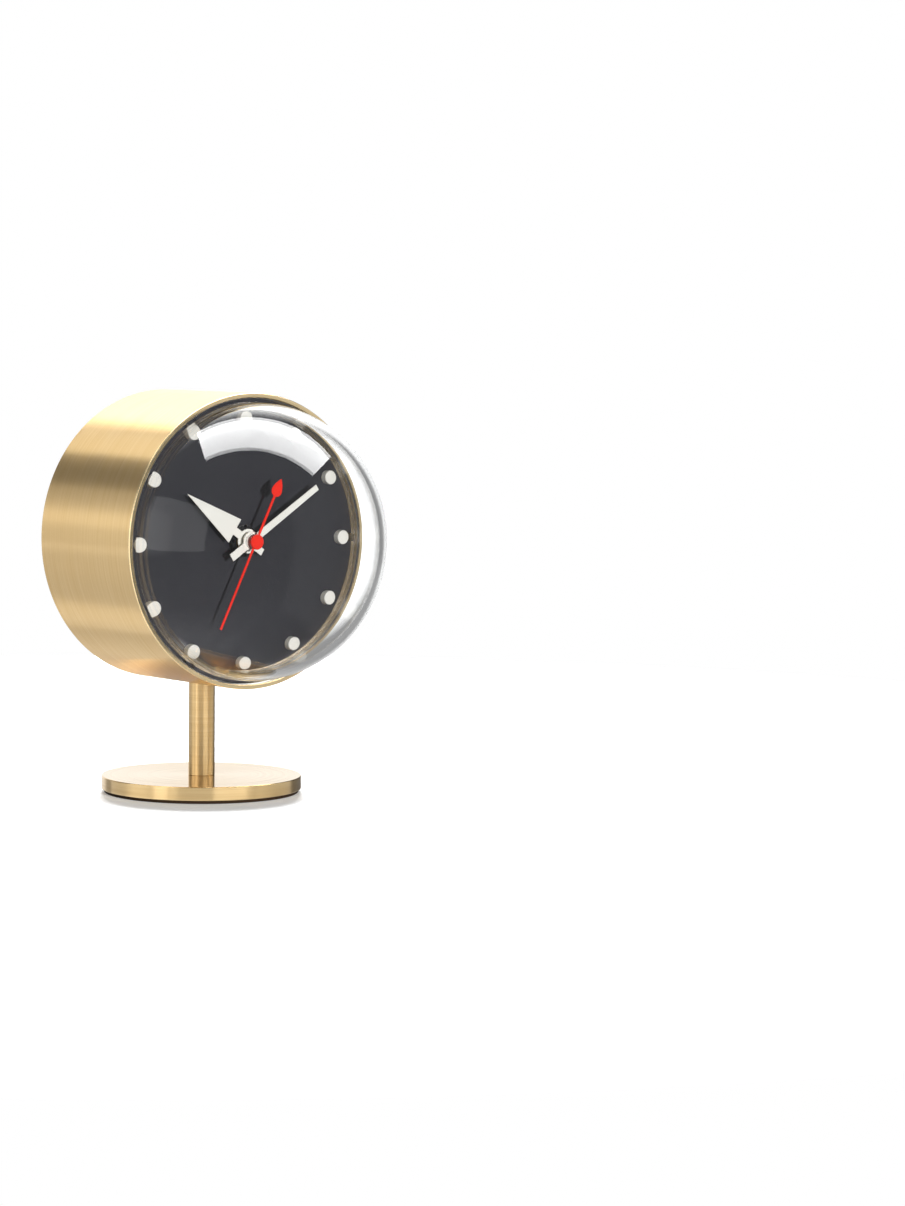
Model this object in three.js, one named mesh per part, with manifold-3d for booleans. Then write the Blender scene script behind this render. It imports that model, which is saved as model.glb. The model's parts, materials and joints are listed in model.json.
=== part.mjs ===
// A table clock. A short horizontal drum stands on a round post and a round base. A domed clear
// lens closes its front, over a black dial with twelve pegs and three hands, and a quartz movement
// sits behind the dial.
//
// Millimetres, +Z up. The dial faces -Y, and +X is on the right of someone reading it. The origin
// is on the post's axis, on the underside of the base pad. Inside the head group the origin moves
// up to the drum's axis, so a radius there is a distance from that axis.

import * as THREE from "three";
import { mergeVertices } from "three/addons/utils/BufferGeometryUtils.js";
import Module from "manifold-3d";

// ---- Driving dimensions ----

const DRUM_RADIUS = 56;
const DRUM_WALL = 1.7;
const DRUM_FRONT = -32.6;
const DRUM_BACK = 26.9;
const AXIS_HEIGHT = 98.3;
const CHAMFER = 0.3;

const BASE_RADIUS = 38.45;
const BASE_THICKNESS = 5.2;
const PAD_THICKNESS = 1.3;
const PAD_INSET = 1.05;
const POST_RADIUS = 5.15;

const LENS_RADIUS = 52.7;
const LENS_HEIGHT = 47.4;
const LENS_WALL = 2.8;
const LENS_SKIRT = 3;

const DIAL_DEPTH = 7;
const DIAL_THICKNESS = 2;
const DIAL_SKIRT = 8;
const PEG_CIRCLE = 47.1;
const PEG_RADIUS = 2.85;
const PEG_HEIGHT = 2.7;
const PEG_COUNT = 12;

const MOVEMENT_SIDE = 56;
const MOVEMENT_DEPTH = 16;
const MOVEMENT_WALL = 1.2;
const WASHER_THICKNESS = 0.5;

const HOUR_ANGLE = 303.5;
const MINUTE_ANGLE = 57.3;
const SECOND_ANGLE = 26.5;

const GAP = 0.1; // between fixed pieces that fit into each other
const MESH_RELIEF = 0.15; // taken off each wheel's radius, so that teeth clear their neighbours
const FINE = 72; // segments of the largest rounds
const MEDIUM = 48;
const SMALL = 18;
const TINY = 10;

// ---- Worked out from them ----

const DRUM_BORE = DRUM_RADIUS - DRUM_WALL;
const DIAL_Y = DRUM_FRONT + DIAL_DEPTH;
const DIAL_BACK = DIAL_Y + DIAL_THICKNESS;
const MOVEMENT_FRONT = DIAL_BACK + WASHER_THICKNESS;
const MOVEMENT_BACK = MOVEMENT_FRONT + MOVEMENT_DEPTH;
const CASE_FRONT = MOVEMENT_FRONT + MOVEMENT_WALL; // inner faces of the movement's case
const CASE_BACK = MOVEMENT_BACK - MOVEMENT_WALL;
const HALF = MOVEMENT_SIDE / 2;
const INNER = HALF - MOVEMENT_WALL;
const BAY_TOP = -10.4; // the wall between the wheels and the battery
const BAY_BOTTOM = -11.6;

// ---- Materials ----

function finish(color, roughness, metalness = 0) {
  return new THREE.MeshStandardMaterial({ color, roughness, metalness, flatShading: true });
}

const BRASS = finish(0xd2ac66, 0.32, 1);
const STEEL = finish(0xb8babd, 0.35, 1);
const COPPER = finish(0xb8693a, 0.35, 1);
const DARK_PAD = finish(0x33261a, 0.85);
const BLACK_SATIN = finish(0x343436, 0.45);
const BLACK_PLASTIC = finish(0x1c1c1e, 0.5);
const IVORY = finish(0xf2efe4, 0.5);
const RED = finish(0xf23a1c, 0.35);
const WHITE_PLASTIC = finish(0xe2e2de, 0.4);
const GREEN_BOARD = finish(0x24663c, 0.55);
const CELL_JACKET = finish(0x3a4a5c, 0.35);
const CLEAR = finish(0xeef3f4, 0.05);
CLEAR.transparent = true;
CLEAR.opacity = 0.25;

// ---- Shapes ----

const wasm = await Module();
wasm.setup();

// Shares vertices, drops the slivers that a lathe leaves on its axis, and turns the faces out.
function closed(geometry) {
  const bare = geometry.clone();
  bare.deleteAttribute("normal");
  bare.deleteAttribute("uv");
  const merged = mergeVertices(bare);
  const place = merged.attributes.position;
  const corners = [new THREE.Vector3(), new THREE.Vector3(), new THREE.Vector3()];
  const kept = [];
  let volume = 0;
  for (let i = 0; i < merged.index.count; i += 3) {
    const triangle = [0, 1, 2].map((k) => merged.index.getX(i + k));
    if (new Set(triangle).size < 3) continue;
    kept.push(...triangle);
    corners.forEach((corner, k) => corner.fromBufferAttribute(place, triangle[k]));
    volume += corners[0].dot(corners[1].cross(corners[2]));
  }
  if (volume < 0) kept.reverse();
  merged.setIndex(kept);
  return merged;
}

function toSolid(geometry) {
  const body = closed(geometry);
  return new wasm.Manifold(
    new wasm.Mesh({
      numProp: 3,
      vertProperties: body.attributes.position.array,
      triVerts: new Uint32Array(body.index.array),
    }),
  );
}

function toGeometry(solid) {
  const mesh = solid.getMesh();
  return new THREE.BufferGeometry()
    .setAttribute("position", new THREE.BufferAttribute(mesh.vertProperties, 3))
    .setIndex(new THREE.BufferAttribute(mesh.triVerts, 1));
}

function cut(body, ...tools) {
  return toGeometry(tools.reduce((solid, tool) => solid.subtract(toSolid(tool)), toSolid(body)));
}

function join(...pieces) {
  return toGeometry(pieces.map(toSolid).reduce((solid, piece) => solid.add(piece)));
}

function common(a, b) {
  return toGeometry(toSolid(a).intersect(toSolid(b)));
}

// A solid turned about Y. The profile is a list of [radius, y] that starts and ends on the axis,
// or closes on itself.
function turned(profile, segments) {
  const points = profile.map(([radius, y]) => new THREE.Vector2(radius, y));
  return closed(new THREE.LatheGeometry(points, segments));
}

function disc(radius, y0, y1, segments = SMALL) {
  return turned([[0, y0], [radius, y0], [radius, y1], [0, y1]], segments);
}

function tube(bore, radius, y0, y1, segments = SMALL) {
  return turned([[bore, y0], [radius, y0], [radius, y1], [bore, y1], [bore, y0]], segments);
}

// A disc whose edges at both ends are broken by a chamfer.
function coin(radius, y0, y1, chamfer, segments) {
  const profile = [
    [0, y0],
    [radius - chamfer, y0],
    [radius, y0 + chamfer],
    [radius, y1 - chamfer],
    [radius - chamfer, y1],
    [0, y1],
  ];
  return turned(profile, segments);
}

function block([x0, x1], [y0, y1], [z0, z1]) {
  const box = new THREE.BoxGeometry(x1 - x0, y1 - y0, z1 - z0);
  return box.translate((x0 + x1) / 2, (y0 + y1) / 2, (z0 + z1) / 2);
}

// A flat outline in X and Z, with its thickness from y0 to y1.
function plate(shape, y0, y1, curveSegments = SMALL / 2) {
  const settings = { depth: y1 - y0, bevelEnabled: false, curveSegments };
  const solid = new THREE.ExtrudeGeometry(shape, settings);
  return closed(solid.rotateX(Math.PI / 2).translate(0, y1, 0));
}

function outline(points) {
  return new THREE.Shape(points.map(([x, z]) => new THREE.Vector2(x, z)));
}

function roundHole(shape, x, z, radius) {
  shape.holes.push(new THREE.Path().absarc(x, z, radius, 0, 2 * Math.PI));
  return shape;
}

function roundedRectangle([x0, x1], [z0, z1], radius) {
  const shape = new THREE.Shape();
  shape.absarc(x1 - radius, z1 - radius, radius, 0, Math.PI / 2);
  shape.absarc(x0 + radius, z1 - radius, radius, Math.PI / 2, Math.PI);
  shape.absarc(x0 + radius, z0 + radius, radius, Math.PI, 1.5 * Math.PI);
  shape.absarc(x1 - radius, z0 + radius, radius, 1.5 * Math.PI, 2 * Math.PI);
  return shape;
}

// Turns a solid that was made about Y so that it stands about Z.
function upright(geometry) {
  return geometry.rotateX(Math.PI / 2);
}

// A toothed disc about Y. Coarse teeth have a flat tip, and fine ones come to a point.
function gear(teeth, pitchRadius, y0, y1, bore = 0) {
  const coarse = teeth < 20;
  const tip = pitchRadius - MESH_RELIEF;
  const root = tip - (coarse ? 0.34 : 0.2) * Math.sqrt(pitchRadius);
  const step = (2 * Math.PI) / teeth;
  const corners = coarse
    ? [[-0.32, root], [-0.16, tip], [0.16, tip], [0.32, root]]
    : [[0, tip], [0.5, root]];
  const points = [];
  for (let tooth = 0; tooth < teeth; tooth += 1) {
    for (const [turn, radius] of corners) {
      const angle = (tooth + turn) * step;
      points.push([radius * Math.sin(angle), radius * Math.cos(angle)]);
    }
  }
  const shape = outline(points);
  if (bore > 0) roundHole(shape, 0, 0, bore);
  return plate(shape, y0, y1);
}

// ---- The assembly ----

const clock = new THREE.Group();
const head = new THREE.Group();
head.position.z = AXIS_HEIGHT;
clock.add(head);

function addTo(group, name, geometry, material) {
  const mesh = new THREE.Mesh(geometry, material.clone());
  mesh.name = name;
  geometry.computeVertexNormals();
  group.add(mesh);
  return mesh;
}

// A group inside the head, on an arbor that stands beside the drum's axis.
function arborGroup({ x, z }) {
  const group = new THREE.Group();
  group.position.set(x, 0, z);
  head.add(group);
  return group;
}

function radians(degrees) {
  return THREE.MathUtils.degToRad(degrees);
}

// ---- Base, post and their screws ----

const BASE_TOP = PAD_THICKNESS + BASE_THICKNESS;
const SCREW_RADIUS = 2;
const SCREW_HOLE = 2.3;
const SCREW_HEAD_RADIUS = 4;
const COUNTERSINK_DEPTH = 2.4;
const BASE_SCREW_TOP = 18;
const CASE_SCREW_BOTTOM = 34;

function buildFoot() {
  const pad = upright(disc(BASE_RADIUS - PAD_INSET, 0, PAD_THICKNESS, MEDIUM));
  addTo(clock, "base_pad", pad, DARK_PAD);

  const screwHole = [
    [0, PAD_THICKNESS - 1],
    [SCREW_HEAD_RADIUS + SCREW_HOLE - SCREW_RADIUS, PAD_THICKNESS - 1],
    [SCREW_HEAD_RADIUS + SCREW_HOLE - SCREW_RADIUS, PAD_THICKNESS],
    [SCREW_HOLE, PAD_THICKNESS + COUNTERSINK_DEPTH],
    [SCREW_HOLE, BASE_TOP + 1],
    [0, BASE_TOP + 1],
  ];
  const slab = coin(BASE_RADIUS, PAD_THICKNESS, BASE_TOP, CHAMFER, FINE);
  addTo(clock, "base_disc", upright(cut(slab, turned(screwHole, SMALL))), BRASS);

  const screw = [
    [0, PAD_THICKNESS + GAP],
    [SCREW_HEAD_RADIUS, PAD_THICKNESS + GAP],
    [SCREW_RADIUS, PAD_THICKNESS + COUNTERSINK_DEPTH],
    [SCREW_RADIUS, BASE_SCREW_TOP],
    [0, BASE_SCREW_TOP],
  ];
  addTo(clock, "base_screw", upright(turned(screw, SMALL)), STEEL);
}

function buildPost() {
  const drumSide = disc(DRUM_RADIUS + GAP, DRUM_FRONT, DRUM_BACK, FINE).translate(0, 0, AXIS_HEIGHT);
  const rod = upright(disc(POST_RADIUS, BASE_TOP, AXIS_HEIGHT - DRUM_RADIUS + 2, SMALL));
  const lowerHole = upright(disc(SCREW_HOLE, BASE_TOP - 1, BASE_SCREW_TOP + 2));
  const upperHole = upright(disc(SCREW_HOLE, CASE_SCREW_BOTTOM - 2, AXIS_HEIGHT));
  addTo(clock, "post", cut(rod, drumSide, lowerHole, upperHole), BRASS);

  const washerReach = 6;
  const washerTop = DRUM_BORE - 1.3;
  const washerSide = tube(washerTop, DRUM_BORE - 2 * GAP, -washerReach, washerReach, FINE);
  const washerHole = upright(disc(SCREW_HOLE, -DRUM_RADIUS, 0));
  const washerEdge = upright(disc(washerReach, -DRUM_RADIUS, 0));
  addTo(head, "saddle_washer", cut(common(washerSide, washerEdge), washerHole), STEEL);

  const headBottom = AXIS_HEIGHT - washerTop + 0.3;
  const headTop = headBottom + 2.3;
  const screw = [
    [0, CASE_SCREW_BOTTOM],
    [SCREW_RADIUS, CASE_SCREW_BOTTOM],
    [SCREW_RADIUS, headBottom],
    [SCREW_HEAD_RADIUS - 0.5, headBottom],
    [SCREW_HEAD_RADIUS - 0.5, headTop - 0.6],
    [SCREW_HEAD_RADIUS - 1.5, headTop],
    [0, headTop],
  ];
  addTo(clock, "case_screw", upright(turned(screw, SMALL)), STEEL);
}

// ---- Drum, lens and back cover ----

function buildDrum() {
  const profile = [
    [DRUM_BORE, DRUM_FRONT],
    [DRUM_RADIUS - CHAMFER, DRUM_FRONT],
    [DRUM_RADIUS, DRUM_FRONT + CHAMFER],
    [DRUM_RADIUS, DRUM_BACK - CHAMFER],
    [DRUM_RADIUS - CHAMFER, DRUM_BACK],
    [DRUM_BORE, DRUM_BACK],
    [DRUM_BORE, DRUM_FRONT],
  ];
  const screwHole = upright(disc(SCREW_HOLE, -DRUM_RADIUS - 1, -DRUM_BORE + 2, TINY));
  addTo(head, "drum_case", cut(turned(profile, FINE), screwHole), BRASS);
}

// A quarter of an ellipse from the apex, in front of the drum, to the drum's front edge.
function domeProfile(radius, height, steps) {
  return Array.from({ length: steps + 1 }, (_, i) => {
    const angle = (Math.PI / 2) * (i / steps);
    return [radius * Math.sin(angle), DRUM_FRONT - height * Math.cos(angle)];
  });
}

function buildLens() {
  const flangeRadius = DRUM_BORE - 2 * GAP;
  const flangeFront = DRUM_FRONT + 0.4;
  const skirtBack = DRUM_FRONT + LENS_SKIRT;
  const innerRadius = LENS_RADIUS - LENS_WALL;
  const outside = domeProfile(LENS_RADIUS, LENS_HEIGHT, 8);
  const inside = domeProfile(innerRadius, LENS_HEIGHT - LENS_WALL, 6).reverse();
  const flange = [
    [LENS_RADIUS, flangeFront],
    [flangeRadius, flangeFront],
    [flangeRadius, skirtBack],
    [innerRadius, skirtBack],
  ];
  const dome = turned([...outside, ...flange, ...inside], MEDIUM);

  // Three lugs on the skirt, at three, seven and eleven o'clock, keep the lens off the dial.
  const lugs = [90, 210, 330].map((angle) => {
    const lug = block([-1.6, 1.6], [skirtBack - 1, DIAL_Y - GAP], [innerRadius + 0.6, flangeRadius - 0.6]);
    return lug.rotateY(radians(angle));
  });
  addTo(head, "front_lens", join(dome, ...lugs), CLEAR);
}

function buildBackCover() {
  const radius = DRUM_BORE - 3 * GAP;
  const back = DRUM_BACK - 1.5;
  const wall = 1.6;
  const front = back - 8;
  const profile = [
    [0, back - wall],
    [radius - wall, back - wall],
    [radius - wall, front],
    [radius, front],
    [radius, back - CHAMFER],
    [radius - CHAMFER, back],
    [0, back],
  ];
  const notch = block([-9, 9], [front - 1, back + 1], [-radius - 1, -radius + 7]);
  addTo(head, "back_cover", cut(turned(profile, MEDIUM), notch), BLACK_PLASTIC);
}

// ---- Dial ----

const BUSH_RADIUS = 3.9;
const PEG_SHANK = 1;

function hourPlaces(radius) {
  return Array.from({ length: PEG_COUNT }, (_, i) => {
    const angle = ((i + 1) / PEG_COUNT) * 2 * Math.PI;
    return { x: radius * Math.sin(angle), z: radius * Math.cos(angle) };
  });
}

function buildDial() {
  const radius = DRUM_BORE - 2 * GAP;
  const skirtBack = DIAL_BACK + DIAL_SKIRT;
  const skirtWall = 1.6;
  const profile = [
    [0, DIAL_Y],
    [radius - CHAMFER, DIAL_Y],
    [radius, DIAL_Y + CHAMFER],
    [radius, skirtBack],
    [radius - skirtWall, skirtBack],
    [radius - skirtWall, DIAL_BACK],
    [0, DIAL_BACK],
  ];
  const holes = hourPlaces(PEG_CIRCLE).map(({ x, z }) =>
    disc(PEG_SHANK + GAP, DIAL_Y - 1, DIAL_BACK + 1, 8).translate(x, 0, z),
  );
  const bushHole = disc(BUSH_RADIUS + 1.5 * GAP, DIAL_Y - 1, DIAL_BACK + 1);
  addTo(head, "dial_plate", cut(turned(profile, MEDIUM), bushHole, ...holes), BLACK_SATIN);

  const pegProfile = [
    [0, DIAL_Y - PEG_HEIGHT],
    [PEG_RADIUS - CHAMFER, DIAL_Y - PEG_HEIGHT],
    [PEG_RADIUS, DIAL_Y - PEG_HEIGHT + CHAMFER],
    [PEG_RADIUS, DIAL_Y],
    [PEG_SHANK, DIAL_Y],
    [PEG_SHANK, DIAL_BACK],
    [0, DIAL_BACK],
  ];
  hourPlaces(PEG_CIRCLE).forEach(({ x, z }, i) => {
    const name = "hour_peg_" + String(i + 1).padStart(2, "0");
    addTo(head, name, turned(pegProfile, TINY).rotateY(Math.PI / 8), IVORY).position.set(x, 0, z);
  });

  addTo(head, "dial_washer", tube(BUSH_RADIUS + 2 * GAP, 10, DIAL_BACK, MOVEMENT_FRONT), BLACK_PLASTIC);
  addTo(head, "fixing_nut", tube(BUSH_RADIUS + 1.5 * GAP, 6.2, DIAL_Y - 2.3, DIAL_Y), BLACK_PLASTIC);
}

// ---- Movement: shells, bush and middle plate ----

const BUSH_FRONT = -28;
const HOUR_PIPE_RADIUS = 2.5;
const MINUTE_SHAFT_RADIUS = 1.65;
const ARBOR_RADIUS = 0.5;
const PLATE_FRONT = -17.2; // the middle plate
const PLATE_BACK = -16.4;

// Where each arbor stands, from the drum's axis, set by the wheels that mesh.
function beside({ x, z }, distance, degrees) {
  return {
    x: x + distance * Math.cos(radians(degrees)),
    z: z + distance * Math.sin(radians(degrees)),
  };
}
const CENTRE = { x: 0, z: 0 };
const THIRD_DISTANCE = 10.8;
const MINUTE_DISTANCE = 8.4;
const INTERMEDIATE_DISTANCE = 8.4;
const ROTOR_DISTANCE = 6.3;
const THIRD_PLACE = beside(CENTRE, THIRD_DISTANCE, 120);
const MINUTE_PLACE = beside(CENTRE, MINUTE_DISTANCE, 20);
const KNOB_PLACE = beside(MINUTE_PLACE, MINUTE_DISTANCE, -10);
const INTERMEDIATE_PLACE = beside(CENTRE, INTERMEDIATE_DISTANCE, 40);
const ROTOR_PLACE = beside(INTERMEDIATE_PLACE, ROTOR_DISTANCE, 60);

function buildMovementCase() {
  const bushFlange = 5.2;
  const flangeFront = CASE_FRONT - 0.8;
  const shell = plate(
    roundedRectangle([-HALF, HALF], [-HALF, HALF], 4),
    MOVEMENT_FRONT,
    CASE_BACK,
    4,
  );
  const wheelRoom = plate(
    roundedRectangle([-INNER, INNER], [BAY_TOP, INNER], 2),
    CASE_FRONT,
    CASE_BACK + 1,
    3,
  );
  const batteryBay = block([-INNER, INNER], [CASE_FRONT, CASE_BACK + 1], [-INNER, BAY_BOTTOM]);
  const bushHole = disc(BUSH_RADIUS + 1.5 * GAP, MOVEMENT_FRONT - 1, CASE_FRONT + 1);
  const bushSeat = disc(bushFlange + GAP, flangeFront - GAP, CASE_FRONT + 1);
  const tray = cut(shell, wheelRoom, batteryBay, bushHole, bushSeat);
  addTo(head, "movement_front_case", tray, BLACK_PLASTIC);

  const lidShape = roundedRectangle([-HALF, HALF], [BAY_BOTTOM, HALF], 2);
  const lid = plate(lidShape, CASE_BACK, MOVEMENT_BACK, 4);
  const collar = disc(3, CASE_BACK, MOVEMENT_BACK + 0.1).translate(KNOB_PLACE.x, 0, KNOB_PLACE.z);
  const stemHole = disc(1.5, CASE_BACK - 1, MOVEMENT_BACK + 1).translate(KNOB_PLACE.x, 0, KNOB_PLACE.z);
  addTo(head, "movement_rear_case", cut(join(lid, collar), stemHole), BLACK_PLASTIC);

  const bushBore = HOUR_PIPE_RADIUS + 2 * GAP;
  const bush = [
    [bushBore, BUSH_FRONT],
    [BUSH_RADIUS, BUSH_FRONT],
    [BUSH_RADIUS, flangeFront],
    [bushFlange, flangeFront],
    [bushFlange, CASE_FRONT],
    [bushBore, CASE_FRONT],
    [bushBore, BUSH_FRONT],
  ];
  addTo(head, "centre_bush", turned(bush, SMALL), BRASS);

  const inset = INNER - 3 * GAP;
  const middle = roundedRectangle([-inset, inset], [BAY_TOP + 2 * GAP, inset], 2);
  roundHole(middle, 0, 0, 1.5);
  roundHole(middle, THIRD_PLACE.x, THIRD_PLACE.z, 1.5);
  roundHole(middle, KNOB_PLACE.x, KNOB_PLACE.z, 1.8);
  addTo(head, "middle_plate", plate(middle, PLATE_FRONT, PLATE_BACK, 8), WHITE_PLASTIC);
}

// ---- Movement: circuit and stepping motor ----

const COIL_Y = -11.6;
const COIL_Z = 21.5;
const COIL_HALF = 13;
const STATOR_FRONT = -11.1;
const STATOR_BACK = -10.3;

function alongX(geometry) {
  return geometry.rotateZ(Math.PI / 2).translate(0, COIL_Y, COIL_Z);
}

function buildMotor() {
  const core = block([-16.8, 16.8], [COIL_Y - 0.4, COIL_Y + 0.4], [COIL_Z - 0.9, COIL_Z + 0.9]);
  addTo(head, "coil_core", core, STEEL);

  const flange = 3.1;
  const barrel = 1.6;
  const flangeWall = 0.9;
  const bobbinProfile = [
    [0, -COIL_HALF],
    [flange, -COIL_HALF],
    [flange, -COIL_HALF + flangeWall],
    [barrel, -COIL_HALF + flangeWall],
    [barrel, COIL_HALF - flangeWall],
    [flange, COIL_HALF - flangeWall],
    [flange, COIL_HALF],
    [0, COIL_HALF],
  ];
  const slot = block(
    [-COIL_HALF - 1, COIL_HALF + 1],
    [COIL_Y - 0.5, COIL_Y + 0.5],
    [COIL_Z - 1, COIL_Z + 1],
  );
  addTo(head, "coil_bobbin", cut(alongX(turned(bobbinProfile, SMALL)), slot), WHITE_PLASTIC);
  const windingEnd = COIL_HALF - flangeWall - GAP;
  const winding = alongX(tube(barrel + GAP, flange - 0.3, -windingEnd, windingEnd));
  addTo(head, "coil_winding", winding, COPPER);

  const armOut = 17;
  const armIn = 13.4;
  const armTop = COIL_Z + 1.9;
  const barTop = 16.2;
  const barBottom = 12.6;
  const yoke = outline([
    [-armOut, barBottom],
    [armOut, barBottom],
    [armOut, armTop],
    [armIn, armTop],
    [armIn, barTop],
    [-armIn, barTop],
    [-armIn, armTop],
    [-armOut, armTop],
  ]);
  const lobe = disc(4.6, STATOR_FRONT, STATOR_BACK).translate(ROTOR_PLACE.x, 0, ROTOR_PLACE.z);
  const rotorHole = disc(2.8, STATOR_FRONT - 1, STATOR_BACK + 1).translate(ROTOR_PLACE.x, 0, ROTOR_PLACE.z);
  const stator = cut(join(plate(yoke, STATOR_FRONT, STATOR_BACK), lobe), rotorHole);
  addTo(head, "stator", stator, STEEL);
}

function buildCircuit() {
  const boardFront = -12.8;
  const boardBack = -12;
  const x = -22.4;
  addTo(head, "circuit_board", block([-26.4, -18.5], [boardFront, boardBack], [-9, 23]), GREEN_BOARD);

  const chip = [
    [0, boardBack],
    [2.6, boardBack],
    [2.2, boardBack + 0.7],
    [1.2, boardBack + 1.1],
    [0, boardBack + 1.2],
  ];
  addTo(head, "control_chip", turned(chip, SMALL), BLACK_PLASTIC).position.set(x, 0, 4);

  const can = upright(coin(1, -3, 3, 0.2, TINY)).translate(0, boardBack + 1.05, 0);
  addTo(head, "quartz_crystal", can, STEEL).position.set(x, 0, 15);
}

// ---- Battery and contacts ----

const BATTERY_RADIUS = 7.2;
const BATTERY_Y = -14.6;
const BATTERY_Z = -18.95;
const CONTACT_WALL = 0.3;
const CONTACT_X = INNER - 0.15;

function buildBattery() {
  const profile = [
    [0, -24],
    [BATTERY_RADIUS - 0.4, -24],
    [BATTERY_RADIUS, -23.6],
    [BATTERY_RADIUS, 24.6],
    [BATTERY_RADIUS - 0.4, 25],
    [2.7, 25],
    [2.7, 26],
    [0, 26],
  ];
  const cell = turned(profile, 32).rotateZ(-Math.PI / 2);
  addTo(head, "battery", cell, CELL_JACKET).position.set(0, BATTERY_Y, BATTERY_Z);

  const y = [BATTERY_Y - 5.5, BATTERY_Y + 5.5];
  const z = [BATTERY_Z - 6.4, BATTERY_Z + 6.4];
  addTo(head, "positive_contact", block([CONTACT_X - CONTACT_WALL, CONTACT_X], y, z), STEEL);

  // The negative contact is a strip with a bowed spring pressed out of it.
  const strip = block([-CONTACT_X, CONTACT_WALL - CONTACT_X], y, z);
  const foot = CONTACT_WALL / 2 - CONTACT_X;
  const crest = -24.2;
  const spring = outline([
    [foot, BATTERY_Z - 4.4],
    [crest, BATTERY_Z - 0.7],
    [crest, BATTERY_Z + 0.7],
    [foot, BATTERY_Z + 4.4],
    [foot, BATTERY_Z + 3.8],
    [crest - CONTACT_WALL, BATTERY_Z + 0.5],
    [crest - CONTACT_WALL, BATTERY_Z - 0.5],
    [foot, BATTERY_Z - 3.8],
  ]);
  const bow = plate(spring, BATTERY_Y - 2, BATTERY_Y + 2);
  addTo(head, "negative_contact", join(strip, bow), STEEL);
}

// ---- Wheels ----

const PIVOT_FRONT = -21.7;
const PIVOT_BACK = -8.5;
const SECOND_SHAFT_FRONT = -35;
const MINUTE_SHAFT_FRONT = -32.6;
const HOUR_PIPE_FRONT = -29.9;

function buildGoingTrain() {
  const behindPlate = PLATE_BACK + GAP;

  const rotor = join(
    gear(6, 1.05, -13, -11.8),
    disc(0.35, behindPlate, PIVOT_BACK, TINY),
    disc(0.6, -11.9, -11.3, TINY),
    disc(2.4, -11.4, -9.3),
  );
  addTo(arborGroup(ROTOR_PLACE), "rotor", rotor, BLACK_SATIN);

  const intermediate = join(
    gear(30, 5.25, -12.7, -12.1),
    gear(6, 1.2, -14.3, -12.6),
    disc(0.4, behindPlate, PIVOT_BACK, TINY),
  );
  addTo(arborGroup(INTERMEDIATE_PLACE), "intermediate_wheel", intermediate, WHITE_PLASTIC);

  const seconds = join(
    gear(36, 7.2, -14, -13.4),
    gear(8, 1.27, -15.9, -13.9),
    disc(ARBOR_RADIUS, SECOND_SHAFT_FRONT, PIVOT_BACK, TINY),
  );
  addTo(arborGroup(CENTRE), "seconds_wheel", seconds, WHITE_PLASTIC);

  const third = join(
    gear(60, 9.53, -15.6, -15),
    gear(8, 1.2, -19.2, -17.9),
    disc(ARBOR_RADIUS, PIVOT_FRONT, PIVOT_BACK, TINY),
  );
  addTo(arborGroup(THIRD_PLACE), "third_wheel", third, WHITE_PLASTIC);

  addTo(arborGroup(CENTRE), "centre_wheel", gear(64, 9.6, -18.9, -18.3, 1.3), BRASS);
}

function buildMotionWork() {
  const shaftBore = disc(0.8, MINUTE_SHAFT_FRONT - 1, -16, TINY);
  const cannon = join(
    gear(12, 2.1, -20.4, -19.2),
    disc(MINUTE_SHAFT_RADIUS, MINUTE_SHAFT_FRONT, -20.3),
    disc(1.2, -19.3, -17.6),
  );
  addTo(arborGroup(CENTRE), "cannon_pinion", cut(cannon, shaftBore), BRASS);

  const minuteWheel = join(
    gear(36, 6.3, -20.3, -19.5),
    gear(10, 1.68, -21.6, -20.2),
    disc(ARBOR_RADIUS, -21.8, -19.2, TINY),
  );
  addTo(arborGroup(MINUTE_PLACE), "minute_wheel", minuteWheel, WHITE_PLASTIC);

  const pipeBore = disc(MINUTE_SHAFT_RADIUS + 2 * GAP, HOUR_PIPE_FRONT - 1, -20);
  const hourWheel = join(
    gear(40, 6.72, -21.5, -20.8),
    disc(HOUR_PIPE_RADIUS, HOUR_PIPE_FRONT, -20.9),
  );
  addTo(arborGroup(CENTRE), "hour_wheel", cut(hourWheel, pipeBore), WHITE_PLASTIC);

  const knobFront = MOVEMENT_BACK + 2 * GAP;
  const knob = join(
    gear(12, 2.1, -20.3, -19.5),
    disc(1.2, -20.2, knobFront + 1),
    plate(knurledShape(5, 24), knobFront, knobFront + 3.6),
  );
  addTo(arborGroup(KNOB_PLACE), "setting_knob", knob, WHITE_PLASTIC);
}

function knurledShape(radius, ridges) {
  const points = [];
  for (let i = 0; i < 2 * ridges; i += 1) {
    const reach = i % 2 ? radius : radius - 0.3;
    const angle = (i * Math.PI) / ridges;
    points.push([reach * Math.sin(angle), reach * Math.cos(angle)]);
  }
  return outline(points);
}

// ---- Hands: each is drawn pointing to twelve, then turned to its hour ----

const HAND_THICKNESS = 0.4;
const HOUR_HAND_BACK = -29.4;
const MINUTE_HAND_BACK = -31.7;
const SECOND_HAND_BACK = -34.6;

function addHand(name, geometry, material, degrees) {
  addTo(head, name, geometry, material).rotation.y = radians(degrees);
}

function buildHourHand() {
  const back = HOUR_HAND_BACK;
  const front = back - HAND_THICKNESS;
  const blade = outline([
    [-1.55, 3.5],
    [-1.55, 7.3],
    [-5.15, 7.3],
    [0, 33.4],
    [5.15, 7.3],
    [1.55, 7.3],
    [1.55, 3.5],
  ]);
  const tail = block([-1.35, 1.35], [front, back], [-8.2, -3.5]);
  const hub = disc(4.65, front, back);
  const boss = disc(3.4, back - GAP, BUSH_FRONT - 3 * GAP);
  const bore = disc(HOUR_PIPE_RADIUS + 0.06, front - 1, BUSH_FRONT);
  const hand = cut(join(plate(blade, front, back), tail, hub, boss), bore);
  addHand("hour_hand", hand, IVORY, HOUR_ANGLE);
}

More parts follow.
